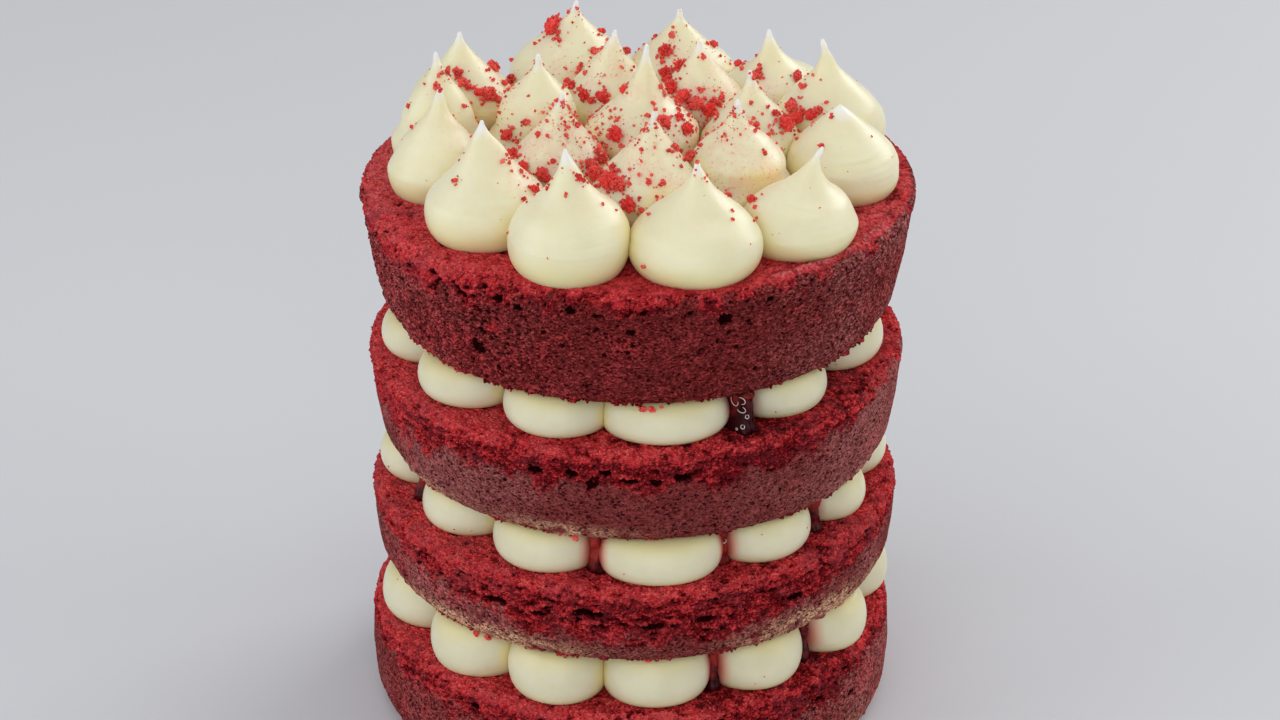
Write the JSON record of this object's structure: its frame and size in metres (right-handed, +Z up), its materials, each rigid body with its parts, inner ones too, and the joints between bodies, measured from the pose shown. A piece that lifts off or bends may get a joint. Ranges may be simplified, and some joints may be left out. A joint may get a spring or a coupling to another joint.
{
  "type": "layer cake",
  "caption": "Tall round red sponge cake with rings of piped cream and jam between its layers and pointed cream kisses with red crumbs on top.",
  "frame": {"origin": "under the middle of the cake, on the surface it stands on", "axes": "+Z up through the layers, -Y towards the front as pictured, +X to the right as pictured"},
  "size_m": [0.1533, 0.1537, 0.1946],
  "materials": {
    "sponge": "rough crumb, deep red with a browner crust",
    "cream": "smooth satin cream",
    "jam": "wet and glossy"
  },
  "bodies": {
    "root": {"sponge_layer_1": "sponge", "sponge_layer_2": "sponge", "sponge_layer_3": "sponge", "sponge_layer_4": "sponge", "cream_ring_1": "cream", "cream_ring_2": "cream", "cream_ring_3": "cream", "jam_1": "jam", "jam_2": "jam", "jam_3": "jam", "kiss_outer_01": "cream", "kiss_outer_02": "cream", "kiss_outer_03": "cream", "kiss_outer_04": "cream", "kiss_outer_05": "cream", "kiss_outer_06": "cream", "kiss_outer_07": "cream", "kiss_outer_08": "cream", "kiss_outer_09": "cream", "kiss_outer_10": "cream", "kiss_outer_11": "cream", "kiss_outer_12": "cream", "kiss_inner_1": "cream", "kiss_inner_2": "cream", "kiss_inner_3": "cream", "kiss_inner_4": "cream", "kiss_inner_5": "cream", "kiss_inner_6": "cream", "kiss_inner_7": "cream", "kiss_centre": "cream"}
  },
  "joints": []
}
